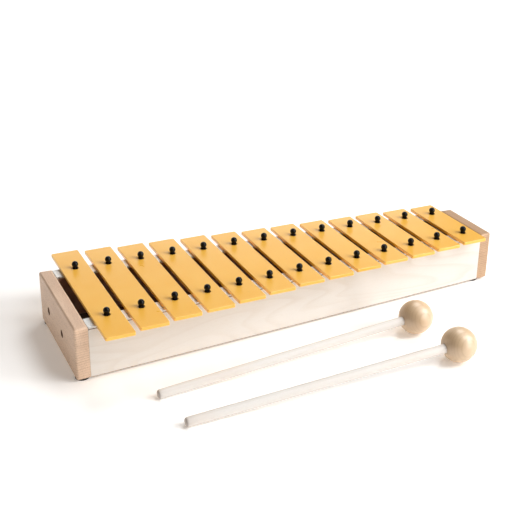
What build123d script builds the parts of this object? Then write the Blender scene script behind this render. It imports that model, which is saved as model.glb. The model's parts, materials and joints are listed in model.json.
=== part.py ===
from build123d import *
import math
import os

os.makedirs("parts", exist_ok=True)

# A diatonic alto glockenspiel with its two wooden mallets lying in front of it.
# Frame: +X runs along the row of bars towards the high notes, +Y away from the player, +Z up.
# The origin is on the floor, at the middle of the box around the whole set.

# ---------------------------------------------------------------- driving dimensions, millimetres

# Bars: one scale cut from a single strip of steel, so only their length sets the note.
scale_semitones = {
    "c5": 0, "d5": 2, "e5": 4, "f5": 5, "g5": 7, "a5": 9, "b5": 11,
    "c6": 12, "d6": 14, "e6": 16, "f6": 17, "g6": 19, "a6": 21,
}
semitones_per_halving = 24      # pitch goes as 1 / length squared: two octaves halve the length
longest_bar = 170.0
bar_width = 25.0
bar_thickness = 2.9
bar_pitch = 30.0
bar_row_shift = 1.1             # the whole row stands this much towards the high notes
last_bar_shift = 0.8            # and the shortest bar this much more
bar_corner_radius = 1.5
bar_edge_chamfer = 0.3
bar_hole_diameter = 6.2

# Case: two slanting plywood panels between two solid end blocks, over a thin bottom board.
left_width = 116.4
right_width = 66.3
end_gap = 5.2                   # between an end block and the nearest bar, before the row's shift
block_thickness = 12.0
block_height = 47.2
block_edge_radius = 2.0
panel_thickness = 16.0
panel_height = 44.5
panel_edge_radius = 1.0         # along the top, where the felt lies
felt_thickness = 2.0
felt_edge_radius = 0.6
board_thickness = 3.0
board_height = 4.0              # from the underside of the case to the board
board_tongue = 4.0              # how far the board's edge reaches into its groove
groove_depth = 4.5

# Two plain bores through the left end block.
end_bore_diameter = 7.0
end_bore_spacing = 44.0
end_bore_offset = 6.4           # from the centreline of the case to the middle of the pair
end_bore_height = 22.0

# Glued dowels that join the panels to the end blocks.
dowel_diameter = 6.0
dowel_depth_in_block = 8.0
dowel_depth_in_panel = 16.0
dowel_heights = (13.0, 26.0)    # above the underside of the case

# Pins: a steel nail with a ball head, in a rubber sleeve that keeps it off the bar.
pin_inset = 8.8                 # from the outer face of a panel
pin_diameter = 2.5
pin_depth = 14.0                # below the top of the panel
pin_point_length = 3.0
pin_point_radius = 0.3
pin_head_diameter = 5.8
pin_head_lift = 3.7             # from the top of a bar to the middle of the ball
sleeve_diameter = 4.4
sleeve_rise = 1.6               # above the top of a bar, where the ball beds into it

# Feet: thin round rubber pads.
foot_diameter = 12.0
foot_height = 1.5
foot_inset_left = 6.3           # from the left end of the case to the foot's middle
foot_inset_right = 14.0
foot_inset_side = 7.0           # from the side of the case to the foot's middle

# Mallets: a ball head on a straight stick, lying on the floor.
head_diameter = 30.0
stick_diameter = 8.0
stick_end_radius = 2.5          # the rounding of the butt
mallet_reach = 244.5            # from the middle of the head to the butt
head_bore_depth = 20.0
# Each mallet's head, from the middle of the case: along X, towards the player, and the stick's turn
mallet_places = {
    "mallet_1": (86.0, 96.3, 2.4),
    "mallet_2": (92.2, 151.8, -0.2),
}

# ---------------------------------------------------------------- worked-out places

bar_count = len(scale_semitones)
case_length = (bar_count - 1) * bar_pitch + bar_width + 2 * (end_gap + block_thickness)
case_left = -case_length / 2
case_right = case_length / 2
inner_left = case_left + block_thickness
inner_right = case_right - block_thickness

slant = (left_width - right_width) / 2 / case_length
panel_depth = panel_thickness * math.hypot(1.0, slant)   # the panel's thickness measured along Y

# The centreline of the case, set so that the case and the mallets together are centred on Y = 0.
front_mallet_offset = max(place[1] for place in mallet_places.values())
case_y = (front_mallet_offset + head_diameter / 2 - longest_bar / 2) / 2

case_bottom = foot_height
block_top = case_bottom + block_height
panel_top = case_bottom + panel_height
felt_top = panel_top + felt_thickness
bar_top = felt_top + bar_thickness
board_bottom = case_bottom + board_height
pin_bottom = panel_top - pin_depth
pin_head_height = bar_top + pin_head_lift
sleeve_top = bar_top + sleeve_rise

FRONT = -1
REAR = 1
touching = 0.01                 # two places nearer than this are the same place


def half_width(x):
    """Half the outside width of the case at x."""
    return left_width / 2 - slant * (x - case_left)


def panel_outline(side):
    """The corners of one panel in plan, between the end blocks."""
    outer_left = half_width(inner_left)
    outer_right = half_width(inner_right)
    return [
        (inner_left, case_y + side * outer_left),
        (inner_right, case_y + side * outer_right),
        (inner_right, case_y + side * (outer_right - panel_depth)),
        (inner_left, case_y + side * (outer_left - panel_depth)),
    ]


def board_outline(reach):
    """The corners of the space inside the case in plan, grown by reach on every side."""
    left = inner_left - reach
    right = inner_right + reach
    half_left = half_width(left) - panel_depth + reach
    half_right = half_width(right) - panel_depth + reach
    return [
        (left, case_y - half_left),
        (right, case_y - half_right),
        (right, case_y + half_right),
        (left, case_y + half_left),
    ]


def bar_x(index):
    """The middle of a bar, counted from the longest."""
    shift = bar_row_shift + (last_bar_shift if index == bar_count - 1 else 0.0)
    return (index - (bar_count - 1) / 2) * bar_pitch + shift


def panel_middle_y(x, side):
    """The middle of a panel's thickness at x."""
    return case_y + side * (half_width(x) - panel_depth / 2)


def pin_y(x, side):
    """Where the pins stand on a panel's top at x."""
    return case_y + side * (half_width(x) - pin_inset)


def pin_points(side, z):
    """One point for each bar, along a panel."""
    return [(bar_x(index), pin_y(bar_x(index), side), z) for index in range(bar_count)]


def dowel_points(x, side):
    """The middles of the two dowels of one corner joint, at the joint's face."""
    return [(x, panel_middle_y(x, side), case_bottom + height) for height in dowel_heights]


def save(piece, label):
    """Name a finished piece and write it."""
    piece.part.label = label
    export_step(piece.part, f"parts/{label}.step")


# ---------------------------------------------------------------- the case

def end_block(outer_x, inner_x, bored):
    """A slice of the tapering case, with a groove for the board and dowel holes on its inner face."""
    with BuildPart() as block:
        with BuildSketch(Plane.XY.offset(case_bottom)):
            with BuildLine():
                Polyline(
                    (outer_x, case_y - half_width(outer_x)),
                    (inner_x, case_y - half_width(inner_x)),
                    (inner_x, case_y + half_width(inner_x)),
                    (outer_x, case_y + half_width(outer_x)),
                    close=True,
                )
            make_face()
        extrude(amount=block_height)
        joint_edges = block.edges().filter_by(Axis.Z).filter_by(
            lambda edge: abs(edge.center().X - inner_x) < touching
        )
        fillet(block.edges() - joint_edges, block_edge_radius)
        with BuildSketch(Plane.XY.offset(board_bottom)):
            with BuildLine():
                Polyline(*board_outline(groove_depth), close=True)
            make_face()
        extrude(amount=board_thickness, mode=Mode.SUBTRACT)
        outwards = math.copysign(1, outer_x)
        joint_plane = Plane(origin=(inner_x, 0, 0), z_dir=(outwards, 0, 0))
        dowel_places = dowel_points(inner_x, FRONT) + dowel_points(inner_x, REAR)
        with BuildSketch(joint_plane):
            with Locations(*[joint_plane.to_local_coords(Vector(*place)) for place in dowel_places]):
                Circle(dowel_diameter / 2)
        extrude(amount=dowel_depth_in_block, mode=Mode.SUBTRACT)
        if bored:
            bore_middle = (inner_x, case_y + end_bore_offset, case_bottom + end_bore_height)
            with BuildSketch(Plane(origin=bore_middle, x_dir=(0, 1, 0), z_dir=(outwards, 0, 0))):
                with GridLocations(end_bore_spacing, 0, 2, 1):
                    Circle(end_bore_diameter / 2)
            extrude(amount=block_thickness, mode=Mode.SUBTRACT)
    return block


save(end_block(case_left, inner_left, bored=True), "left_end_block")
save(end_block(case_right, inner_right, bored=False), "right_end_block")


def side_panel(side):
    """A plywood panel that carries one row of pins on its top edge."""
    with BuildPart() as panel:
        with BuildSketch(Plane.XY.offset(case_bottom)):
            with BuildLine():
                Polyline(*panel_outline(side), close=True)
            make_face()
        extrude(amount=panel_height)
        top_edges = panel.faces().sort_by(Axis.Z)[-1].edges().sort_by(SortBy.LENGTH)[-2:]
        fillet(top_edges, panel_edge_radius)
        with BuildSketch(Plane.XY.offset(board_bottom)):
            with BuildLine():
                Polyline(*board_outline(groove_depth), close=True)
            make_face()
        extrude(amount=board_thickness, mode=Mode.SUBTRACT)
        with Locations(*pin_points(side, panel_top)):
            Hole(pin_diameter / 2, pin_depth)
        for joint_x, direction in ((inner_left, 1), (inner_right, -1)):
            joint_plane = Plane(origin=(joint_x, 0, 0), z_dir=(direction, 0, 0))
            places = [joint_plane.to_local_coords(Vector(*place))
                      for place in dowel_points(joint_x, side)]
            with BuildSketch(joint_plane):
                with Locations(*places):
                    Circle(dowel_diameter / 2)
            extrude(amount=dowel_depth_in_panel, mode=Mode.SUBTRACT)
    return panel


save(side_panel(FRONT), "front_panel")
save(side_panel(REAR), "rear_panel")

with BuildPart() as bottom_board:
    with BuildSketch(Plane.XY.offset(board_bottom)):
        with BuildLine():
            Polyline(*board_outline(board_tongue), close=True)
        make_face()
    extrude(amount=board_thickness)
save(bottom_board, "bottom_board")


def corner_dowels(joint_x, block_direction):
    """The four dowels between one end block and the two panels."""
    with BuildPart() as dowels:
        start_x = joint_x + block_direction * dowel_depth_in_block
        start = Plane(origin=(start_x, 0, 0), z_dir=(-block_direction, 0, 0))
        places = dowel_points(joint_x, FRONT) + dowel_points(joint_x, REAR)
        with BuildSketch(start):
            with Locations(*[start.to_local_coords(Vector(*place)) for place in places]):
                Circle(dowel_diameter / 2)
        extrude(amount=dowel_depth_in_block + dowel_depth_in_panel)
    return dowels


save(corner_dowels(inner_left, -1), "left_dowels")
save(corner_dowels(inner_right, 1), "right_dowels")


def felt_strip(side):
    """The felt that the bars rest on, punched for the pin sleeves."""
    with BuildPart() as felt:
        with BuildSketch(Plane.XY.offset(panel_top)):
            with BuildLine():
                Polyline(*panel_outline(side), close=True)
            make_face()
        extrude(amount=felt_thickness)
        long_edges = felt.edges().sort_by(SortBy.LENGTH)[-4:]
        fillet(long_edges, felt_edge_radius)
        with Locations(*pin_points(side, felt_top)):
            Hole(sleeve_diameter / 2)
    return felt


save(felt_strip(FRONT), "front_felt")
save(felt_strip(REAR), "rear_felt")

foot_places = {
    "foot_front_left": (case_left + foot_inset_left, FRONT),
    "foot_rear_left": (case_left + foot_inset_left, REAR),
    "foot_front_right": (case_right - foot_inset_right, FRONT),
    "foot_rear_right": (case_right - foot_inset_right, REAR),
}
for foot_name, (foot_x, foot_side) in foot_places.items():
    with BuildPart() as foot:
        with BuildSketch(Plane.XY):
            with Locations((foot_x, case_y + foot_side * (half_width(foot_x) - foot_inset_side))):
                Circle(foot_diameter / 2)
        extrude(amount=foot_height)
    save(foot, foot_name)

# ---------------------------------------------------------------- pins and sleeves


def pin_row(side):
    """One row of pins: a pointed shank in the panel and a ball above the bar."""
    with BuildPart() as pins:
        with Locations(*pin_points(side, pin_bottom)):
            Cone(pin_point_radius, pin_diameter / 2, pin_point_length,
                 align=(Align.CENTER, Align.CENTER, Align.MIN))
        with Locations(*pin_points(side, pin_bottom + pin_point_length)):
            Cylinder(pin_diameter / 2, pin_head_height - pin_bottom - pin_point_length,
                     align=(Align.CENTER, Align.CENTER, Align.MIN))
        with Locations(*pin_points(side, pin_head_height)):
            Sphere(pin_head_diameter / 2)
    return pins


def sleeve_row(side):
    """One row of rubber sleeves, from the panel up through the felt and the bars."""
    with BuildPart() as sleeves:
        with BuildSketch(Plane.XY.offset(panel_top)):
            with Locations(*[(x, y) for x, y, z in pin_points(side, panel_top)]):
                Circle(sleeve_diameter / 2)
                Circle(pin_diameter / 2, mode=Mode.SUBTRACT)
        extrude(amount=sleeve_top - panel_top)
        with Locations(*pin_points(side, pin_head_height)):
            Sphere(pin_head_diameter / 2, mode=Mode.SUBTRACT)
    return sleeves


for side, row_name in ((FRONT, "front"), (REAR, "rear")):
    save(pin_row(side), f"{row_name}_pins")
    save(sleeve_row(side), f"{row_name}_pin_sleeves")

# ---------------------------------------------------------------- the bars

for index, (note, semitones) in enumerate(scale_semitones.items()):
    bar_length = longest_bar * 2 ** (-semitones / semitones_per_halving)
    middle_x = bar_x(index)
    with BuildPart() as bar:
        with BuildSketch(Plane.XY.offset(felt_top)):
            with Locations((middle_x, case_y)):
                RectangleRounded(bar_width, bar_length, bar_corner_radius)
        extrude(amount=bar_thickness)
        chamfer(bar.faces().sort_by(Axis.Z)[-1].edges(), bar_edge_chamfer)
        with Locations((middle_x, pin_y(middle_x, FRONT), bar_top),
                       (middle_x, pin_y(middle_x, REAR), bar_top)):
            Hole(bar_hole_diameter / 2)
    save(bar, f"bar_{note}")

# ---------------------------------------------------------------- the mallets

for mallet_name, (head_x, towards_player, turn) in mallet_places.items():
    head_radius = head_diameter / 2
    stick_radius = stick_diameter / 2
    # The stick slopes down from the middle of the head until it rests on the floor, where its
    # butt starts to round.
    slope = math.asin((head_radius - stick_radius) / (mallet_reach - stick_end_radius))
    heading = math.radians(180 + turn)
    to_butt = Vector(math.cos(heading) * math.cos(slope),
                     math.sin(heading) * math.cos(slope),
                     -math.sin(slope))
    head_centre = Vector(head_x, case_y - towards_player, head_radius)
    bore_end = head_centre + to_butt * (head_radius - head_bore_depth)
    stick_length = mallet_reach - (head_radius - head_bore_depth)

    with BuildPart() as head:
        with Locations(head_centre):
            Sphere(head_radius)
        with BuildSketch(Plane(origin=bore_end, z_dir=to_butt)):
            Circle(stick_radius)
        extrude(amount=head_diameter, mode=Mode.SUBTRACT)
    save(head, f"{mallet_name}_head")

    with BuildPart() as stick:
        with BuildSketch(Plane(origin=bore_end, z_dir=to_butt)):
            Circle(stick_radius)
        extrude(amount=stick_length)
        butt_edge = stick.edges().filter_by(GeomType.CIRCLE).sort_by(Axis.X)[0]
        fillet(butt_edge, stick_end_radius)
    save(stick, f"{mallet_name}_stick")
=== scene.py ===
import json
import math

import bpy
from mathutils import Matrix, Vector, geometry, noise


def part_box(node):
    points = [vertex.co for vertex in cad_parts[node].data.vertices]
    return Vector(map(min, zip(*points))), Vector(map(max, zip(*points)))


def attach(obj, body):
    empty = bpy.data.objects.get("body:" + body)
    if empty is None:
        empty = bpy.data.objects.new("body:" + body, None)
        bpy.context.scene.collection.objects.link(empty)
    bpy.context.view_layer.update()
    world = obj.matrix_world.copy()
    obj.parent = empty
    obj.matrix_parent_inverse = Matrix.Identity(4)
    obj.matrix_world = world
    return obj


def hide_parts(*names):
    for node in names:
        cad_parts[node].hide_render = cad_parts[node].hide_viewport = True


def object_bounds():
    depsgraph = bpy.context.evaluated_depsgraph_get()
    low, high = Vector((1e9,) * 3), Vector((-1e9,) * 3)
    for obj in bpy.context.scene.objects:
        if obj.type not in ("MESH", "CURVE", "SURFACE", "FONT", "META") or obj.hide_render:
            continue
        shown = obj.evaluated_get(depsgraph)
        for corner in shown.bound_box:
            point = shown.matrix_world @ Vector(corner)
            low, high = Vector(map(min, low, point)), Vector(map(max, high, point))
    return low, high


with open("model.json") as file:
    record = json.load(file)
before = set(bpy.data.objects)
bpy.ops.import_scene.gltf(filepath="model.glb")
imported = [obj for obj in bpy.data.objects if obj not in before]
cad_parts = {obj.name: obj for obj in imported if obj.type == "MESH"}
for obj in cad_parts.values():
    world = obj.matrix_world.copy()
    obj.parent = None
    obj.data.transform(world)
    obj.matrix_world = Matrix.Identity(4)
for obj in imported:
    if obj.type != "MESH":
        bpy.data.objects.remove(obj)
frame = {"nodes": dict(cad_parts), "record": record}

cad_low, cad_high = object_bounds()
mm = 0.001

# ---------------------------------------------------------------- sizes that the frame's boxes don't give

block_edge = 2.0 * mm             # rounding of the end blocks' outer edges
block_joint_edge = 0.25 * mm      # easing of their corners at the panels
bore_radius = 3.5 * mm            # the two bores through the left block
bore_height = 22.0 * mm           # above the block's underside
bore_spread = 22.0 * mm           # from their middle to each of them
bore_shift = 6.4 * mm             # their middle, behind the middle of the case
bore_edge = 0.4 * mm

panel_corner = 0.3 * mm
panel_low_edge = 1.5 * mm
panel_high_edge = 1.0 * mm

bar_corner = 1.5 * mm
bar_low_edge = 0.3 * mm
bar_high_edge = 0.4 * mm
bar_hole_radius = 3.1 * mm
bar_hole_edge = 0.25 * mm

pin_radius = 1.25 * mm
pin_neck_radius = 1.5 * mm
pin_point = 3.0 * mm              # length of the taper at a pin's lower end
sleeve_lip = 0.12 * mm            # rounding of a sleeve's upper edge
rubbing_gap = 0.02 * mm           # between a sleeve and the pin in it
foot_edge = 0.35 * mm

stick_radius = 4.0 * mm
butt_distance = 244.5 * mm        # from the middle of a mallet's head to the far end of its stick
butt_rounding = 2.5 * mm
head_end_grain_and_shade, butt_end_grain_and_shade = 0.24, 0.4                  # how much darker the end grain is painted, from 0 to 1, partly as painted shade

round_sides = {"bar hole": 40, "bore": 48, "pin": 32, "foot": 48, "head": 72, "stick": 40}
upright = (0, 0, 1)

# ---------------------------------------------------------------- places, worked out from the frame

bodies = frame["record"]["behaviour"]["bodies"]
body_of_node = {node: body for body, nodes in bodies.items() for node in nodes}
bar_nodes = [node for node in body_of_node if node.startswith("bar_")]
bar_nodes.sort(key=lambda node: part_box(node)[0].x)
bar_boxes = [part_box(node) for node in bar_nodes]
bar_middles = [(low.x + high.x) / 2 for low, high in bar_boxes]
bar_width = bar_boxes[0][1].x - bar_boxes[0][0].x

left_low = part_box("left_end_block")[0]
right_low, right_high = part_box("right_end_block")
panel_low, panel_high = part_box("front_panel")
rear_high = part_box("rear_panel")[1]
sleeve_low, sleeve_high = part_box("front_pin_sleeves")
pins_low, pins_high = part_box("front_pins")

case_y = (panel_low.y + rear_high.y) / 2
inner_left, inner_right = panel_low.x, panel_high.x
half_left = case_y - panel_low.y                      # half the case's width where the panels start
half_right = (right_high.y - right_low.y) / 2         # and where they end
slant = (half_left - half_right) / (inner_right - inner_left)
panel_depth = panel_high.y - (case_y - half_right)

sleeve_radius = sleeve_high.x - bar_middles[-1]
pin_head_radius = pins_high.x - bar_middles[-1]
pin_head_z = pins_high.z - pin_head_radius


def half_width(x):
    """Half the outside width of the case at x."""
    return half_left - slant * (x - inner_left)


pin_inset = half_width(bar_middles[0]) - (case_y - sleeve_low.y - sleeve_radius)


def pin_place(node, side):
    """Where the pin at one end of a bar stands. side is -1 in front and 1 behind."""
    low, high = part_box(node)
    x = (low.x + high.x) / 2
    return Vector((x, case_y + side * (half_width(x) - pin_inset), 0))


# ---------------------------------------------------------------- camera, floor and light

camera_place = (-0.37129, -0.70254, 0.43313)
camera_turn, camera_rise, camera_roll = 23.457, -23.261, 0.174       # degrees, the turn from +Y towards +X
camera_lens, camera_sensor = 69.225, 36.0                            # millimetres
camera_shift = (0.0559, -0.0600)

# Soft boxes that face the instrument: azimuth from +X towards +Y, elevation, width, height, watts, colour
white, warm = (1.0, 1.0, 1.0), (1.0, 0.84, 0.68)
lamps = {
    "key": (-30, 34, 1.1, 1.1, 41.0, white),
    "low_front": (-58, 14, 1.1, 1.1, 20.0, white),
    "high_front": (-45, 58, 1.1, 1.1, 17.5, white),
    "high_rear": (45, 58, 1.1, 1.1, 23.0, white),
    "rear_wall": (78, 12, 2.4, 0.9, 12.5, white),
    "low_left": (150, 12, 1.1, 1.1, 8.0, warm),
}
lamp_target = Vector((0, 0, 0.02))
lamp_distance = 2.5
room_glow = 0.08
backdrop_glow = 1.0

floor_half_size = 30.0
floor_drop = 0.02 * mm            # under the resting surface, so that nothing flickers into it


def direction(azimuth, elevation):
    """The unit vector at an azimuth from +X towards +Y and an elevation, both in degrees."""
    turn, rise = math.radians(azimuth), math.radians(elevation)
    return Vector((math.cos(turn) * math.cos(rise), math.sin(turn) * math.cos(rise), math.sin(rise)))


def add_camera():
    """The camera stands in front of the low-note end and looks down along the row of bars."""
    forward = direction(90 - camera_turn, camera_rise)
    data = bpy.data.cameras.new("camera")
    data.lens = camera_lens
    data.sensor_width = camera_sensor
    data.shift_x, data.shift_y = camera_shift
    data.clip_end = 50.0
    camera = bpy.data.objects.new("camera", data)
    camera.location = camera_place
    camera.rotation_mode = "QUATERNION"
    turn = Matrix.Rotation(math.radians(camera_roll), 4, forward).to_quaternion()
    camera.rotation_quaternion = turn @ forward.to_track_quat("-Z", "Y")
    bpy.context.scene.collection.objects.link(camera)
    bpy.context.scene.camera = camera


def add_lamps():
    """Soft boxes from the front right round to the rear left."""
    for name, (azimuth, elevation, width, height, watts, colour) in lamps.items():
        data = bpy.data.lights.new(name, "AREA")
        data.shape = "RECTANGLE" if width > height else "ELLIPSE"
        data.size, data.size_y = width, height
        data.energy = watts
        data.color = colour
        lamp = bpy.data.objects.new(name, data)
        towards = direction(azimuth, elevation)
        lamp.location = lamp_target + towards * lamp_distance
        lamp.rotation_mode = "QUATERNION"
        lamp.rotation_quaternion = towards.to_track_quat("Z", "Y")
        lamp.visible_camera = False
        bpy.context.scene.collection.objects.link(lamp)


def add_room():
    """A dim even room that the camera sees as a white backdrop."""
    world = bpy.data.worlds.new("room")
    bpy.context.scene.world = world
    world.use_nodes = True
    tree = world.node_tree
    tree.nodes.clear()
    mix = tree.nodes.new("ShaderNodeMixShader")
    for place, glow in ((1, room_glow), (2, backdrop_glow)):
        background = tree.nodes.new("ShaderNodeBackground")
        background.inputs["Color"].default_value = (*white, 1.0)
        background.inputs["Strength"].default_value = glow
        tree.links.new(background.outputs[0], mix.inputs[place])
    path = tree.nodes.new("ShaderNodeLightPath")
    output = tree.nodes.new("ShaderNodeOutputWorld")
    tree.links.new(path.outputs["Is Camera Ray"], mix.inputs[0])
    tree.links.new(mix.outputs[0], output.inputs[0])


def add_floor(material):
    """A plain pale floor."""
    size = floor_half_size
    z = cad_low.z - floor_drop
    mesh = bpy.data.meshes.new("floor")
    mesh.from_pydata([(-size, -size, z), (size, -size, z), (size, size, z), (-size, size, z)], [],
                     [(0, 1, 2, 3)])
    floor = bpy.data.objects.new("floor", mesh)
    floor.data.materials.append(material)
    bpy.context.scene.collection.objects.link(floor)


# ---------------------------------------------------------------- materials
# The scales of the noises are per metre: 2600 makes detail of about 0.4 mm, and 60 of about 17 mm.

class Material:
    """A small helper that builds one node material."""

    def __init__(self, name):
        self.material = bpy.data.materials.new(name)
        self.material.use_nodes = True
        self.tree = self.material.node_tree
        self.shader = self.tree.nodes["Principled BSDF"]

    def node(self, kind, inputs=None, **settings):
        """Adds a node. Each input is a number, a colour or another node's output."""
        made = self.tree.nodes.new(f"ShaderNode{kind}")
        for name, value in settings.items():
            setattr(made, name, value)
        for name, value in (inputs or {}).items():
            self.put(made, name, value)
        return made

    def put(self, node, name, value):
        """Links another node's output to a socket, or sets a constant on the socket itself."""
        socket = node.inputs[name]
        if isinstance(value, bpy.types.NodeSocket):
            self.tree.links.new(value, socket)
        else:
            socket.default_value = value

    def set(self, **values):
        """Sets the shader's own sockets; an underscore stands for a space in a socket's name."""
        for name, value in values.items():
            self.put(self.shader, name.replace("_", " "), value)

    def place(self):
        """The object's own coordinates, in metres."""
        return self.node("TexCoord").outputs["Object"]

    def attribute(self, name, output="Fac"):
        """A value that the mesh carries at its vertices."""
        return self.node("Attribute", attribute_name=name).outputs[output]

    def math(self, operation, first, second=0.0, third=0.0, clamp=False):
        made = self.node("Math", {0: first, 1: second, 2: third}, operation=operation, use_clamp=clamp)
        return made.outputs[0]

    def times(self, first, second):
        return self.math("MULTIPLY", first, second)

    def total(self, start, *parts, clamp=False):
        """start, a number, plus each (value, weight) of parts. clamp keeps the sum from 0 to 1."""
        for k, (value, weight) in enumerate(parts, 1):
            start = self.math("MULTIPLY_ADD", value, weight, start, clamp=clamp and k == len(parts))
        return start

    def vector_math(self, operation, first, second):
        return self.node("VectorMath", {0: first, 1: second}, operation=operation).outputs[0]

    def length(self, vector):
        return self.node("VectorMath", {0: vector}, operation="LENGTH").outputs["Value"]

    def stretched(self, source, scale, offset=(0, 0, 0)):
        """The coordinates source, scaled along each axis and moved."""
        return self.node("Mapping", {"Vector": source, "Scale": scale, "Location": offset}).outputs[0]

    def noise(self, vector, scale=1.0, detail=3.0, roughness=0.55, distortion=0.0, output="Fac"):
        made = self.node("TexNoise", {"Vector": vector, "Scale": scale, "Detail": detail,
                                      "Roughness": roughness, "Distortion": distortion})
        return made.outputs[output]

    def ramp(self, value, *stops):
        """A colour ramp; each stop is (place, colour) or (place, grey)."""
        made = self.node("ValToRGB", {"Fac": value})
        elements = made.color_ramp.elements
        while len(elements) < len(stops):
            elements.new(1.0)
        for element, (place, colour) in zip(elements, stops):
            element.position = place
            element.color = (*colour, 1.0) if isinstance(colour, tuple) else (colour, colour, colour, 1.0)
        return made.outputs["Color"]

    def mix(self, share, first, second):
        """The colour first where share is 0 and second where it is 1. A Mix node keeps its colours in
        inputs 6 and 7 and output 2."""
        made = self.node("Mix", {0: share}, data_type="RGBA")
        self.put(made, 6, (*first, 1.0) if isinstance(first, tuple) else first)
        self.put(made, 7, (*second, 1.0) if isinstance(second, tuple) else second)
        return made.outputs[2]

    def bump(self, height, strength, distance):
        return self.node("Bump", {"Height": height, "Strength": strength, "Distance": distance}).outputs[0]


def tinted(colour, share):
    """The colour with every part of it multiplied by share."""
    return tuple(share * part for part in colour)


def grain_parts(m, wood, ring_spacing, bend=3.0 * mm):
    """The growth rings and the fibres of a piece of wood, each from 0 to 1. wood is along the grain,
    along the rings and across them, in metres, and bend is how far the rings waver."""
    waver = m.noise(m.stretched(wood, (5, 30, 30)), detail=1.5, roughness=0.5, output="Color")
    waver = m.vector_math("SUBTRACT", waver, (0.5, 0.5, 0.5))
    waver = m.vector_math("MULTIPLY", waver, (0.0, bend, bend))
    across = m.vector_math("MULTIPLY", m.vector_math("ADD", wood, waver), (0.0, 1.0, 1.0))
    turns = m.math("DIVIDE", m.length(across), ring_spacing)
    # pale early wood, then a band of late wood that ends sharply with the year
    year = m.ramp(m.math("FRACT", turns), (0.0, 0.12), (0.55, 0.10), (0.84, 1.0), (0.93, 0.75), (1.0, 0.12))
    strength = m.node("TexWhiteNoise", {"W": m.math("FLOOR", turns)}, noise_dimensions="1D").outputs["Value"]
    rings = m.times(year, m.total(0.4, (strength, 0.6)))
    fibres = m.noise(m.stretched(wood, (60, 2600, 2600)), detail=4.0, roughness=0.7)
    return rings, fibres


def wood_material(name, light, dark, ring_spacing, figure, streak, fleck, gloss=0.4, shine=0.45, lacquer=0.0):
    """Solid wood. The pieces carry "wood" coordinates: x along the grain, y along the rings and z
    across them, in metres. light and dark are the colours of early and late wood, and figure, streak
    and fleck are how strongly the rings, the fibres and the rays show. A value at the vertices makes
    the wood darker over that: 1 in drilled holes, where it is painted shade, and less on end grain,
    where it is darker grain and, on the mallets, partly painted shade."""
    m = Material(name)
    wood = m.attribute("wood", "Vector")
    rings, fibres = grain_parts(m, wood, ring_spacing)
    broad = m.noise(m.stretched(wood, (9, 90, 90)))
    shade = m.total(-(0.5 + 1.3 * 0.45) * streak, (rings, figure), (fibres, streak), (broad, 1.3 * streak),
                    clamp=True)
    colour = m.mix(shade, light, dark)
    deep = tinted(dark, 0.68)
    rays = m.ramp(m.noise(m.stretched(wood, (560, 3400, 820)), detail=1.0), (0.57, 0.0), (0.68, 1.0))
    pores = m.noise(m.stretched(wood, (240, 5200, 5200), (2.0, 5.0, 1.0)), detail=1.0)
    pores = m.ramp(pores, (0.60, 0.0), (0.72, 1.0))
    colour = m.mix(m.times(rays, fleck), colour, deep)
    colour = m.mix(m.times(pores, 0.45 * fleck), colour, deep)
    patches = m.noise(m.stretched(wood, (12, 26, 26), (0.3, 0.1, 0.7)), detail=1.0)
    patches = m.times(m.ramp(patches, (0.42, 0.0), (0.66, 1.0)), 0.35)
    colour = m.mix(patches, colour, (light[0], 0.88 * light[1], 0.80 * light[2]))
    # painted shade inside the bores, and darker end grain that is partly painted shade on the mallets
    painted_shade_and_dark_grain = m.times(m.attribute("darkening_and_painted_shade"), m.total(0.7, (fibres, 0.3)))
    colour = m.mix(painted_shade_and_dark_grain, colour, (0.13, 0.055, 0.028))
    height = m.total(0.0, (fibres, 1.0), (rings, 0.3), (pores, -0.5))
    rough = m.total(gloss - 0.06, (fibres, 0.18), (rings, 0.06))
    m.set(Base_Color=colour, Roughness=rough, Normal=m.bump(height, 0.35, 0.12 * mm),
          Specular_IOR_Level=shine, Coat_Weight=lacquer, Coat_Roughness=0.36)
    return m.material


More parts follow.
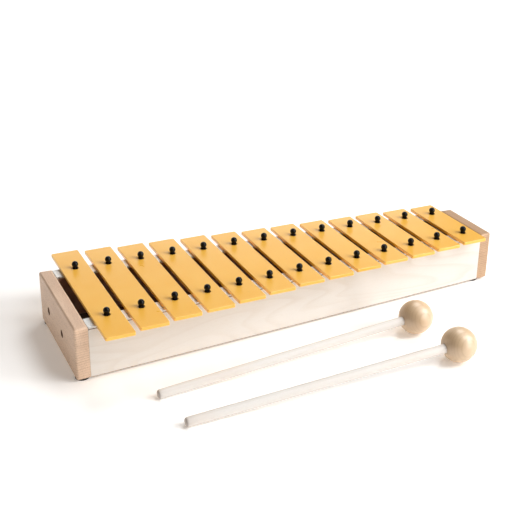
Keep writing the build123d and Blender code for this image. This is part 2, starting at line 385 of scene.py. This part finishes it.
def plywood_material():
    """Pale birch plywood: thin cathedral lines on the outer veneer, a redder and darker inner veneer that
    is partly painted shade inside the case, and the plies themselves on the cut edges, where the
    darkest plies are partly painted shadow along the panel's edges. "depth" is the distance in from the outer
    face."""
    m = Material("birch_plywood_look")
    wood = m.attribute("wood", "Vector")
    ply_depth = m.attribute("depth")
    ply_thickness = 1.4 * mm

    flow = m.noise(m.stretched(wood, (4.2, 19, 30), (0.05, 0.0, 0.0)), detail=1.5, roughness=0.4,
                   distortion=0.5)
    contour = m.math("FRACT", m.times(flow, 13.0))
    figure = m.ramp(contour, (0.0, 0.05), (0.5, 0.12), (0.86, 1.0), (0.95, 0.5), (1.0, 0.05))
    where = m.noise(m.stretched(wood, (9, 22, 22), (0.9, 0.2, 0.4)), detail=1.0)
    figure = m.times(figure, m.ramp(where, (0.35, 0.3), (0.65, 1.0)))
    fibres = m.noise(m.stretched(wood, (50, 2400, 2400)), detail=4.0, roughness=0.7)
    dashes = m.noise(m.stretched(wood, (220, 2600, 2600), (3, 3, 3)), detail=1.0)
    dashes = m.ramp(dashes, (0.62, 0.0), (0.74, 1.0))
    clouds = m.noise(m.stretched(wood, (7, 40, 40), (1.3, 0.5, 0.1)), detail=2.0)
    shade = m.total(-(0.42 * 0.45 + 0.5 * 0.35), (figure, 0.38), (fibres, 0.45), (clouds, 0.35), clamp=True)
    face = m.mix(shade, (0.765, 0.725, 0.675), (0.64, 0.56, 0.475))
    face = m.mix(m.times(dashes, 0.22), face, (0.60, 0.45, 0.32))
    # the inner face is painted redder and darker than the outer one, partly as painted shade inside the case
    inner = m.mix(shade, (0.50, 0.30, 0.22), (0.36, 0.19, 0.13))

    # the cut edge: a very thin face veneer, then plies that are dark end grain every other time; the darkest
    # plies, on the rounded edges next to the outer face, are partly painted shadow: the dark line along the
    # panel's foot and under the felt's front edge
    ply = m.math("DIVIDE", m.math("PINGPONG", ply_depth, ply_thickness), ply_thickness)
    edge = m.ramp(ply, (0.0, (0.20, 0.115, 0.065)), (0.35, (0.30, 0.19, 0.115)), (0.6, (0.60, 0.46, 0.32)),
                  (0.9, (0.72, 0.62, 0.48)), (1.0, (0.45, 0.32, 0.21)))
    share = m.math("DIVIDE", ply_depth, panel_depth)
    colour = m.mix(m.ramp(share, (0.005, 0.0), (0.011, 1.0)), face, edge)
    colour = m.mix(m.ramp(share, (0.965, 0.0), (0.98, 1.0)), colour, inner)

    height = m.total(0.0, (fibres, 1.0), (figure, 0.25), (dashes, -0.4))
    m.set(Base_Color=colour, Roughness=m.total(0.36, (fibres, 0.16)), Normal=m.bump(height, 0.25, 0.1 * mm),
          Specular_IOR_Level=0.45)
    return m.material


def bar_material():
    """Yellow-gold enamel baked on steel: an even colour under a clear gloss with faint orange peel,
    paler along the edges, partly thinner enamel and partly a painted highlight, with a few specks of dust in it."""
    m = Material("gold_bar_look")
    place = m.place()
    drawn = m.noise(m.stretched(place, (2600, 30, 600)), roughness=0.6)
    cloudy = m.noise(place, scale=48.0)
    peel = m.noise(place, scale=850.0, detail=2.0)
    specks = m.ramp(m.noise(place, scale=620.0, detail=1.0), (0.73, 0.0), (0.78, 1.0))
    tone = m.total(-0.225, (drawn, 0.35), (cloudy, 1.1), clamp=True)
    colour = m.mix(tone, (0.97, 0.485, 0.052), (0.98, 0.545, 0.088))
    colour = m.mix(m.times(specks, 0.35), colour, (0.60, 0.27, 0.03))
    # painted highlight along the eased edges, partly thinner enamel there
    colour = m.mix(m.times(m.attribute("rim"), 0.25), colour, (0.95, 0.66, 0.26))
    height = m.total(0.0, (peel, 1.0), (drawn, 0.25), (specks, 0.8))
    m.set(Base_Color=colour, Roughness=m.total(0.24, (cloudy, 0.12)), Normal=m.bump(height, 0.16, 0.04 * mm),
          Coat_Weight=0.6, Coat_Roughness=0.22)
    return m.material


def felt_material():
    """Pressed white wool felt: tangled short fibres and a soft sheen."""
    m = Material("white_felt_look")
    place = m.place()
    tangle = m.noise(place, scale=900.0, detail=5.0, roughness=0.75, distortion=2.5)
    clumps = m.noise(place, scale=160.0, detail=2.0)
    tone = m.total(0.0, (tangle, 0.6), (clumps, 0.4))
    colour = m.ramp(tone, (0.3, (0.78, 0.78, 0.75)), (0.7, (0.95, 0.95, 0.93)))
    height = m.total(0.0, (tangle, 1.0), (clumps, 0.6))
    m.set(Base_Color=colour, Roughness=0.95, Normal=m.bump(height, 0.8, 0.4 * mm),
          Specular_IOR_Level=0.1, Sheen_Weight=0.2)
    return m.material


def coated_material(name, colour, roughness, spot_scale, bump_strength, shine):
    """A dark moulded or dipped coat, with slight unevenness in its gloss."""
    m = Material(name)
    place = m.place()
    fine = m.noise(place, scale=spot_scale)
    broad = m.noise(place, scale=spot_scale / 8, detail=2.0)
    tone = m.mix(fine, tinted(colour, 0.6), tinted(colour, 1.5))
    rough = m.total(roughness - 0.07, (broad, 0.14))
    m.set(Base_Color=tone, Roughness=rough, Normal=m.bump(fine, bump_strength, 0.04 * mm),
          Specular_IOR_Level=shine)
    return m.material


def hardboard_material():
    """Dark brown pressed hardboard, painted darker than plain hardboard as painted shade inside the case: matted
    fibres with a smooth dull face.
    """
    m = Material("hardboard_look")
    place = m.place()
    fibres = m.noise(place, scale=700.0, detail=4.0, roughness=0.7, distortion=1.5)
    clouds = m.noise(place, scale=60.0)
    tone = m.total(0.0, (fibres, 0.65), (clouds, 0.35))
    # painted shade: these colours are darker than plain hardboard, for the shade inside the case
    colour = m.ramp(tone, (0.3, (0.070, 0.040, 0.026)), (0.55, (0.115, 0.070, 0.047)),
                    (0.75, (0.160, 0.105, 0.070)))
    m.set(Base_Color=colour, Roughness=0.7, Normal=m.bump(fibres, 0.4, 0.1 * mm), Specular_IOR_Level=0.2)
    return m.material


def dowel_material():
    """Plain turned beech for the CAD pieces inside the joints, with the grain along X."""
    m = Material("dowel_look")
    place = m.place()
    fibres = m.noise(m.stretched(place, (60, 2600, 2600)), detail=4.0, roughness=0.7)
    broad = m.noise(m.stretched(place, (12, 300, 300)), detail=2.0)
    shade = m.total(0.0, (fibres, 0.6), (broad, 0.4))
    colour = m.ramp(shade, (0.3, (0.80, 0.64, 0.46)), (0.7, (0.62, 0.45, 0.29)))
    m.set(Base_Color=colour, Roughness=0.55, Normal=m.bump(fibres, 0.3, 0.1 * mm))
    return m.material


def floor_material():
    """Plain white studio floor with a barely visible tooth. It glows a little, a painted light that
    brightens its shadows and lights the instrument warmly from below, more so far from the instrument, where the
    soft boxes don't reach."""
    m = Material("floor_look")
    place = m.place()
    tooth = m.noise(place, scale=180.0, detail=2.0)
    near, far, reach = 0.64, 2.0, 4.0
    # painted glow: dim and warm near the instrument to fill its shadows, near white further out
    glow = m.ramp(m.math("DIVIDE", m.length(place), reach),
                  (near / reach, (0.25, 0.2275, 0.205)), (far / reach, (0.95, 0.95, 0.95)))
    m.set(Base_Color=(0.93, 0.93, 0.93, 1.0), Roughness=0.9, Normal=m.bump(tooth, 0.03, 0.2 * mm),
          Specular_IOR_Level=0.0, Emission_Color=glow, Emission_Strength=1.0)
    return m.material


# ---------------------------------------------------------------- mesh building

class Shell:
    """Vertices with their own normals, and the faces between them. Attributes are kept per vertex,
    and openings are the loops of points around the walls that were left out."""

    def __init__(self):
        self.points, self.normals, self.faces = [], [], []
        self.values, self.openings = {}, {}

    def add(self, point, normal, **values):
        self.points.append(Vector(point))
        self.normals.append(Vector(normal).normalized())
        for name, value in values.items():
            self.values.setdefault(name, {})[len(self.points) - 1] = value
        return len(self.points) - 1

    def bridge(self, ring, following, left_out=()):
        """Quads between two rings of the same length, but for the places in the left_out ranges."""
        count = len(ring)
        for k in range(count):
            after = (k + 1) % count
            if not any(k in places for places in left_out):
                self.faces.append((ring[k], ring[after], following[after], following[k]))

    def cap(self, outer, holes=()):
        """Fills a flat ring, leaving the holes open."""
        loops = [outer, *holes]
        order = [index for loop in loops for index in loop]
        for corners in geometry.tessellate_polygon([[self.points[i] for i in loop] for loop in loops]):
            self.faces.append(tuple(order[corner] for corner in corners))

    def face_normal(self, face):
        """The direction a face looks in, as long as twice its area."""
        first, second, third, last = (self.points[face[k]] for k in (0, 1, 2, -1))
        return (third - first).cross(last - second)

    def turn_faces(self):
        """Turns every face to the side its vertices' normals point to."""
        for k, face in enumerate(self.faces):
            wanted = sum((self.normals[index] for index in face), Vector())
            if self.face_normal(face).dot(wanted) < 0:
                self.faces[k] = face[::-1]

    def average_normals(self):
        """Gives every vertex the mean normal of the faces around it, for surfaces with a relief."""
        self.turn_faces()
        sums = [Vector() for point in self.points]
        for face in self.faces:
            normal = self.face_normal(face)
            for index in face:
                sums[index] += normal
        self.normals = [total.normalized() for total in sums]

    def build(self, name, material, node, wood=None):
        """Makes the object that stands for a CAD node and lets it ride on that node's body. wood
        gives a point's coordinates in its piece of wood."""
        self.turn_faces()
        mesh = bpy.data.meshes.new(name)
        mesh.from_pydata([tuple(p) for p in self.points], [], self.faces)
        mesh.polygons.foreach_set("use_smooth", [True] * len(mesh.polygons))
        mesh.update()
        mesh.normals_split_custom_set_from_vertices([tuple(n) for n in self.normals])
        for value_name, values in self.values.items():
            attribute = mesh.attributes.new(value_name, "FLOAT", "POINT")
            attribute.data.foreach_set("value", [values.get(k, 0.0) for k in range(len(self.points))])
        if wood is not None:
            attribute = mesh.attributes.new("wood", "FLOAT_VECTOR", "POINT")
            attribute.data.foreach_set("vector", [part for p in self.points for part in wood(p)])
        piece = bpy.data.objects.new(name, mesh)
        mesh.materials.append(material)
        bpy.context.scene.collection.objects.link(piece)
        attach(piece, body_of_node[node])
        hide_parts(node)
        return piece


def rounded_outline(corners, radii, inset, arc_steps, span):
    """A convex outline, anticlockwise, with rounded corners, moved inwards by inset. Returns the
    outline as (point, outward) pairs and, for each straight side, the places where it starts and
    ends in that list; straight sides are divided about every span."""
    count = len(corners)
    arcs = []
    for k in range(count):
        before, here, after = corners[k - 1], corners[k], corners[(k + 1) % count]
        into, out_of = (here - before).normalized(), (after - here).normalized()
        normal_in = Vector((into.y, -into.x))
        normal_out = Vector((out_of.y, -out_of.x))
        reach = max(radii[k], inset)
        half_turn = normal_in.angle(normal_out) / 2
        middle = (normal_in + normal_out).normalized()
        centre = here - middle * reach / math.cos(half_turn)
        start = math.atan2(normal_in.y, normal_in.x)
        arc_points = []
        for step in range(arc_steps + 1):
            angle = start + 2 * half_turn * step / arc_steps
            outward = Vector((math.cos(angle), math.sin(angle)))
            arc_points.append((centre + outward * (reach - inset), outward))
        arcs.append(arc_points)
    outline, sides = [], []
    for k, arc_points in enumerate(arcs):
        outline += arc_points
        point, outward = arc_points[-1]
        following = arcs[(k + 1) % count][0][0]
        pieces = max(1, round((corners[(k + 1) % count] - corners[k]).length / span))
        sides.append((len(outline) - 1, len(outline) - 1 + pieces))
        outline += [(point.lerp(following, piece / pieces), outward) for piece in range(1, pieces)]
    return outline, sides


def edge_profile(radius, steps):
    """A quarter round as (inset, height, outwards, upwards), from the flat face to the side."""
    return [(radius * (1 - math.sin(a)), radius * (1 - math.cos(a)), math.sin(a), math.cos(a))
            for a in (math.pi / 2 * k / steps for k in range(steps + 1))]


def hole_profile(radius, edge, low, high, steps):
    """A round hole through a plate as (radius, height, outwards, upwards), with eased mouths."""
    rises = edge_profile(edge, steps)
    return ([(radius + inset, low + rise, -out, -up) for inset, rise, out, up in rises]
            + [(radius + inset, high - rise, -out, up) for inset, rise, out, up in reversed(rises)])


def edge_share(out, up):
    """1 where a normal is halfway between outwards and upwards, 0 where it is along one of them."""
    return 1.0 - abs(abs(up) - abs(out)) if out and up else 0.0


def slab(corners, corner_radii, low, high, low_edge, high_edge, holes=(), hole_edge=0.0,
         steps=4, arc_steps=6, span=1.0, open_sides=()):
    """A flat plate with rounded corners, rounded edges and round holes, lying in plan view.
    holes are (x, y, radius). The upright walls of open_sides are left out; shell.openings keeps the
    loop of points around each of them. rim is 1 halfway round every edge."""
    shell = Shell()
    levels = [(inset, low + rise, out, -up) for inset, rise, out, up in edge_profile(low_edge, steps)]
    rises = edge_profile(high_edge, steps)
    levels += [(inset, high - rise, out, up) for inset, rise, out, up in reversed(rises)]
    rings = []
    for inset, height, out, up in levels:
        outline, sides = rounded_outline(corners, corner_radii, inset, arc_steps, span)
        rings.append([shell.add((point.x, point.y, height), (outward.x * out, outward.y * out, up),
                                rim=edge_share(out, up)) for point, outward in outline])
    wall = steps
    for level, (lower, upper) in enumerate(zip(rings, rings[1:])):
        left_out = [range(*sides[side]) for side in open_sides] if level == wall else []
        shell.bridge(lower, upper, left_out)
    for side in open_sides:
        first, last = sides[side]
        places = [k % len(rings[wall]) for k in range(first, last + 1)]
        shell.openings[side] = ([rings[wall][k] for k in places]
                                + [rings[wall + 1][k] for k in reversed(places)])
    bottoms, tops = [], []
    for x, y, radius in holes:
        profile = hole_profile(radius, hole_edge, low, high, steps)
        walls = tube(shell, profile, (x, y, 0), upright, round_sides["bar hole"])
        bottoms.append(walls[0])
        tops.append(walls[-1])
    shell.cap(rings[0], bottoms)
    shell.cap(rings[-1], tops)
    return shell


def tube(shell, profile, origin, axis, steps):
    """Rings of (radius, height, outwards, upwards) about an axis, joined to each other."""
    axis = Vector(axis).normalized()
    side = axis.orthogonal().normalized()
    other = axis.cross(side)
    rings = []
    for radius, height, out, up in profile:
        centre = Vector(origin) + axis * height
        if radius == 0:
            rings.append([shell.add(centre, axis * up)])
            continue
        ring = []
        for k in range(steps):
            angle = 2 * math.pi * k / steps
            outward = side * math.cos(angle) + other * math.sin(angle)
            ring.append(shell.add(centre + outward * radius, outward * out + axis * up,
                                  rim=edge_share(out, up)))
        rings.append(ring)
    for lower, upper in zip(rings, rings[1:]):
        if len(lower) == 1:
            shell.faces += [(lower[0], upper[(k + 1) % steps], upper[k]) for k in range(steps)]
        elif len(upper) == 1:
            shell.faces += [(lower[k], lower[(k + 1) % steps], upper[0]) for k in range(steps)]
        else:
            shell.bridge(lower, upper)
    return rings


def arc(centre_radius, centre_height, radius, start, end, steps):
    """Part of a circle as a lathe profile; angles are in degrees above the horizontal."""
    made = []
    for k in range(steps + 1):
        angle = math.radians(start + (end - start) * k / steps)
        out, up = math.cos(angle), math.sin(angle)
        at = centre_radius + radius * out
        made.append((0.0 if abs(at) < 1e-9 else at, centre_height + radius * up, out, up))
    return made


# ---------------------------------------------------------------- the case

def make_end_block(node, material, bores=()):
    """An end block: a slice of the tapering case, rounded except along its two joints with the
    panels. bores are (y, z, radius) and run through it along X."""
    low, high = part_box(node)
    left_x, right_x = low.x, high.x
    at_left = left_x < inner_left
    inner_x = right_x if at_left else left_x
    corners = [Vector((x, case_y + side * half_width(x)))
               for x, side in ((left_x, -1), (right_x, -1), (right_x, 1), (left_x, 1))]
    radii = [block_joint_edge if (x == inner_x) else block_edge for x in (left_x, right_x, right_x, left_x)]
    right_wall, left_wall = 1, 3
    shell = slab(corners, radii, low.z, high.z, block_edge, block_edge, steps=6, arc_steps=8, span=4 * mm,
                 open_sides=(left_wall, right_wall) if bores else ())

    mouths = {left_wall: [], right_wall: []}
    mouth_rings = 3                                    # the unpainted ones at each end; the rest are painted dark, as painted shade inside the bore
    for y, z, radius in bores:
        profile = hole_profile(radius, bore_edge, left_x, right_x, steps=4)
        walls = tube(shell, profile, (0, y, z), (1, 0, 0), round_sides["bore"])
        # painted shade: the bore walls between the mouths are painted dark
        for ring in walls[mouth_rings:-mouth_rings]:
            shell.values.setdefault("darkening_and_painted_shade", {}).update((index, 1.0) for index in ring)
        mouths[left_wall].append(walls[0])
        mouths[right_wall].append(walls[-1])
    for side, loop in shell.openings.items():
        shell.cap(loop, mouths[side])

    # the middle of the tree, just inside the case and far below it
    heart_x, heart_z = inner_x + 6 * mm, low.z - 240 * mm

    def wood(point):
        return (point.y, point.x - heart_x, point.z - heart_z)

    shell.build(f"{node}_wood", material, node, wood)


def make_panel(node, side, material):
    """A side panel, straight along its outer and inner face. side is -1 in front and 1 behind."""
    low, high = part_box(node)
    outer = [Vector((x, case_y + side * half_width(x))) for x in (inner_left, inner_right)]
    inner = [Vector((x, case_y + side * (half_width(x) - panel_depth))) for x in (inner_right, inner_left)]
    corners = outer + inner
    if side > 0:
        corners.reverse()
    shell = slab(corners, [panel_corner] * 4, low.z, high.z, panel_low_edge, panel_high_edge, span=10 * mm)
    shell.values["depth"] = {k: half_width(point.x) - side * (point.y - case_y)
                             for k, point in enumerate(shell.points)}
    sheet_offset = 0.3 * side                          # the two panels come from different sheets

    def wood(point):
        return (point.x, point.z - low.z + sheet_offset, side * (point.y - case_y) - half_width(point.x))

    shell.build(f"{node}_wood", material, node, wood)


def felt_section(half, thickness):
    """The outline of a felt strip across its length as (across, up), from below the outer edge."""
    edge = 0.7 * mm
    round_steps, width_steps = 3, 16
    flat = half - edge
    quarters = ((1, edge), (1, thickness - edge), (-1, thickness - edge), (-1, edge))
    section = []
    for quarter, (way, height) in enumerate(quarters):
        if quarter == 2:
            section += [(flat * (1 - 2 * k / width_steps), thickness) for k in range(1, width_steps)]
        for k in range(round_steps + 1):
            angle = math.pi / 2 * (quarter - 1 + k / round_steps)
            section.append((way * flat + edge * math.cos(angle), height + edge * math.sin(angle)))
    return section


def make_felt(node, side, material):
    """A felt strip with a slightly wavy nap, pressed down a little where the bars lie on it."""
    low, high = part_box(node)
    shell = Shell()
    length_steps = 520
    end_margin, side_margin = 0.1 * mm, 0.15 * mm
    nap, nap_scale = 0.10 * mm, 260
    bulge, bulge_scale = 0.12 * mm, (180, 100)
    dent, slack = 0.16 * mm, 0.02 * mm                 # how far the top sinks under a bar and between them
    half = panel_depth / 2 - side_margin
    thickness = high.z - low.z
    section = felt_section(half, thickness)
    length = inner_right - inner_left - 2 * end_margin
    rings = []
    for step in range(length_steps + 1):
        x = inner_left + end_margin + length * step / length_steps
        middle = case_y + side * (half_width(x) - panel_depth / 2)
        sunk = dent if min(abs(x - bar_x) for bar_x in bar_middles) < bar_width / 2 else slack
        ring = []
        for across, up in section:
            share = up / thickness
            wave = noise.noise(Vector((x * nap_scale, across * nap_scale, up * nap_scale)))
            ripple = noise.noise(Vector((x * bulge_scale[0], 7.0, across * bulge_scale[1])))
            lift = (nap * wave - sunk) * share
            aside = (bulge if across > 0 else -bulge) * ripple * share
            outward = (0.2 * (step / length_steps - 0.5), across / half, (up - thickness / 2) / thickness)
            ring.append(shell.add((x, middle + across + aside, low.z + up + lift), outward))
        rings.append(ring)
    for before, after in zip(rings, rings[1:]):
        shell.bridge(before, after)
    shell.cap(rings[0])
    shell.cap(rings[-1])
    shell.average_normals()
    piece = shell.build(f"{node}_strip", material, node)


def make_foot(node, material):
    """A round rubber pad with its lower edge eased."""
    low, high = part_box(node)
    radius = (high.x - low.x) / 2
    profile = [(0.0, low.z, 0, -1), (radius - foot_edge, low.z, 0, -1)]
    profile += arc(radius - foot_edge, low.z + foot_edge, foot_edge, -90, 0, 4)[1:]
    profile += [(radius, high.z, 1, 0.2), (0.0, high.z, 0, 1)]
    shell = Shell()
    tube(shell, profile, ((low.x + high.x) / 2, (low.y + high.y) / 2, 0), upright, round_sides["foot"])
    shell.build(f"{node}_pad", material, node)


# ---------------------------------------------------------------- the bars and their pins

def make_bar(node, material):
    """A flat bar with eased edges and a hole near each end."""
    low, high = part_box(node)
    corners = [Vector((x, y)) for x, y in ((low.x, low.y), (high.x, low.y), (high.x, high.y), (low.x, high.y))]
    holes = [(*pin_place(node, side).xy, bar_hole_radius) for side in (-1, 1)]
    shell = slab(corners, [bar_corner] * 4, low.z, high.z, bar_low_edge, bar_high_edge, holes, bar_hole_edge,
                 span=20 * mm)
    shell.build(f"{node}_plate", material, node)


def make_row(name, node, side, profile, material):
    """The same turned piece at every bar, in front or behind."""
    shell = Shell()
    for bar in bar_nodes:
        tube(shell, profile, pin_place(bar, side), upright, round_sides["pin"])
    shell.build(name, material, node)


def pin_profile():
    """A nail: a ball head on a short neck, and the shank that goes down into the wood."""
    tip = pins_low.z
    join = -math.degrees(math.acos(pin_neck_radius / pin_head_radius))     # where the neck meets the ball
    neck_top = pin_head_z + pin_head_radius * math.sin(math.radians(join)) - 0.1 * mm
    profile = [(0.0, tip, 0, -1), (pin_radius, tip + pin_point, 1, -0.4), (pin_radius, sleeve_high.z, 1, 0),
               (pin_neck_radius, neck_top, 1, 0)]
    return profile + arc(0.0, pin_head_z, pin_head_radius, join + 2, 90, 18)


def sleeve_profile():
    """A rubber tube with a rounded lip, dished at the top, where the ball beds into it."""
    bore = pin_radius + rubbing_gap
    dish = pin_head_radius + rubbing_gap
    bottom, top = panel_high.z, sleeve_high.z
    profile = [(bore, bottom, -1, 0), (sleeve_radius, bottom, 1, -0.3),
               (sleeve_radius, top - sleeve_lip, 1, 0)]
    profile += arc(sleeve_radius - sleeve_lip, top - sleeve_lip, sleeve_lip, 20, 90, 4)
    rim_radius = math.sqrt(dish ** 2 - (pin_head_z - top) ** 2)
    dish_steps = 6
    for step in range(dish_steps + 1):
        radius = rim_radius + (bore - rim_radius) * step / dish_steps
        fall = math.sqrt(dish ** 2 - radius ** 2)
        profile.append((radius, pin_head_z - fall, -radius / dish, fall / dish))
    return profile + [(bore, bottom, -1, 0)]


# ---------------------------------------------------------------- the mallets

def mallet_line(name):
    """The middle and the radius of a mallet's head, and the direction from there to the stick's butt,
    which lies on the floor."""
    low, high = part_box(f"{name}_head")
    radius = (high.z - low.z) / 2
    centre = Vector((high.x - radius, (low.y + high.y) / 2, low.z + radius))
    low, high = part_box(f"{name}_stick")
    towards_front = abs(low.y - centre.y) > abs(high.y - centre.y)
    drift = (low.y + stick_radius if towards_front else high.y - stick_radius) - centre.y
    # the last full circle of the stick, where the butt starts to round, touches the floor
    drop = radius - stick_radius
    reach = butt_distance - butt_rounding
    along = math.sqrt(reach ** 2 - drop ** 2 - drift ** 2)
    return centre, radius, Vector((-along, drift, -drop)).normalized()


def head_profile(radius):
    """A ball with a blind bore for the stick, upwards being towards the stick."""
    bore = stick_radius + 0.03 * mm
    bore_end = -0.3 * radius
    mouth = math.degrees(math.acos((stick_radius + 0.35 * mm) / radius))
    mouth_height = radius * math.sin(math.radians(mouth))
    profile = [(0.0, bore_end, 0, 1), (bore, bore_end, -1, 0), (bore, mouth_height - 0.3 * mm, -1, 0),
               (stick_radius + 0.2 * mm, mouth_height + 0.02 * mm, -0.2, 1)]
    return profile + arc(0.0, 0.0, radius, mouth - 0.5, -90, 40)


def stick_profile():
    """A straight stick, not quite even along its length, with a rounded butt."""
    start = -4.5 * mm                                  # its hidden end, at the bottom of the head's bore
    first, last, rings = 5.0 * mm, 235.0 * mm, 47
    unevenness = 0.02 * mm
    profile = [(0.0, start, 0, -1), (stick_radius, start, 1, -0.3)]
    for k in range(rings):
        radius = stick_radius - unevenness * (1 + math.sin(1.7 * k))
        profile.append((radius, first + (last - first) * k / (rings - 1), 1, 0))
    profile += arc(stick_radius - butt_rounding, butt_distance - butt_rounding, butt_rounding, 6, 90, 10)
    return profile + [(0.0, butt_distance, 0, 1)]


def make_mallet(name, head_material, stick_material):
    """A turned ball head glued on a straight round stick."""
    centre, radius, to_butt = mallet_line(name)
    aside = to_butt.orthogonal().normalized()
    other = to_butt.cross(aside)
    heart_aside, heart_other = 30 * mm, 50 * mm        # how far off the middle of the tree was

    def wood(point):
        offset = point - centre
        return (offset.dot(to_butt) + centre.y, offset.dot(aside) + heart_aside, offset.dot(other) + heart_other)

    head = Shell()
    tube(head, head_profile(radius), centre, to_butt, round_sides["head"])
    # the end grain is painted darker, on the two sides of the ball that the grain points to; this is partly
    # painted shade for the ball's side away from the key lamp
    faded = 0.25                                       # no darker than the rest below this share of the way
    ends = [abs((point - centre).normalized().dot(to_butt)) for point in head.points]
    head.values["darkening_and_painted_shade"] = {k: head_end_grain_and_shade * max(0.0, (end - faded) / (1 - faded)) ** 1.5
                             for k, end in enumerate(ends)}
    head.build(f"{name}_head_ball", head_material, f"{name}_head", wood)

    stick = Shell()
    tube(stick, stick_profile(), centre, to_butt, round_sides["stick"])
    # the butt's end grain is painted darker, partly as painted shade on the end that faces away from the key
    # lamp
    end_grain = butt_distance - 1.2 * mm
    stick.values["darkening_and_painted_shade"] = {k: butt_end_grain_and_shade for k, point in enumerate(stick.points)
                              if (point - centre).dot(to_butt) > end_grain}
    stick.build(f"{name}_stick_dowel", stick_material, f"{name}_stick", wood)


def keep_cad(node, material):
    """A CAD node whose own mesh is shown, with a better material."""
    piece = frame["nodes"][node]
    piece.data.materials.clear()
    piece.data.materials.append(material)


# ---------------------------------------------------------------- putting it together

bpy.context.scene.view_settings.view_transform = "Standard"

add_camera()
add_lamps()
add_room()
add_floor(floor_material())

beech = wood_material("beech_look", light=(0.79, 0.575, 0.415), dark=(0.53, 0.335, 0.22),
                      ring_spacing=2.2 * mm, figure=0.85, streak=0.75, fleck=0.50)
beech_pink = wood_material("beech_right_look", light=(0.56, 0.36, 0.215), dark=(0.34, 0.20, 0.115),
                           ring_spacing=2.0 * mm, figure=0.85, streak=0.75, fleck=0.50)
head_wood = wood_material("mallet_head_look", light=(0.73, 0.525, 0.315), dark=(0.54, 0.355, 0.185),
                          ring_spacing=1.9 * mm, figure=0.5, streak=0.4, fleck=0.10,
                          gloss=0.45, shine=1.0, lacquer=1.0)
stick_wood = wood_material("mallet_stick_look", light=(0.775, 0.735, 0.69), dark=(0.67, 0.585, 0.505),
                           ring_spacing=1.6 * mm, figure=0.35, streak=0.4, fleck=0.10)
birch = plywood_material()
gold = bar_material()
felt_white = felt_material()
pin_black = coated_material("black_pin_look", (0.003, 0.003, 0.003), roughness=0.28, spot_scale=900.0,
                            bump_strength=0.12, shine=0.2)
sleeve_black = coated_material("sleeve_rubber_look", (0.006, 0.005, 0.005), roughness=0.55,
                               spot_scale=1600.0, bump_strength=0.3, shine=0.08)
foot_black = coated_material("foot_rubber_look", (0.02, 0.019, 0.018), roughness=0.65,
                             spot_scale=1200.0, bump_strength=0.4, shine=0.3)

for node in bar_nodes:
    make_bar(node, gold)

bores = [(case_y + bore_shift + way * bore_spread, left_low.z + bore_height, bore_radius) for way in (-1, 1)]
make_end_block("left_end_block", beech, bores)
make_end_block("right_end_block", beech_pink)
rows = (("front", -1), ("rear", 1))
for row, side in rows:
    make_panel(f"{row}_panel", side, birch)
for row, side in rows:
    make_felt(f"{row}_felt", side, felt_white)
for row, side in rows:
    make_row(f"{row}_pins_black", f"{row}_pins", side, pin_profile(), pin_black)
    make_row(f"{row}_pin_sleeves_tubes", f"{row}_pin_sleeves", side, sleeve_profile(), sleeve_black)
for node in ("foot_front_left", "foot_rear_left", "foot_front_right", "foot_rear_right"):
    make_foot(node, foot_black)
for mallet in ("mallet_1", "mallet_2"):
    make_mallet(mallet, head_wood, stick_wood)

keep_cad("bottom_board", hardboard_material())
dowel_wood = dowel_material()
keep_cad("left_dowels", dowel_wood)
keep_cad("right_dowels", dowel_wood)
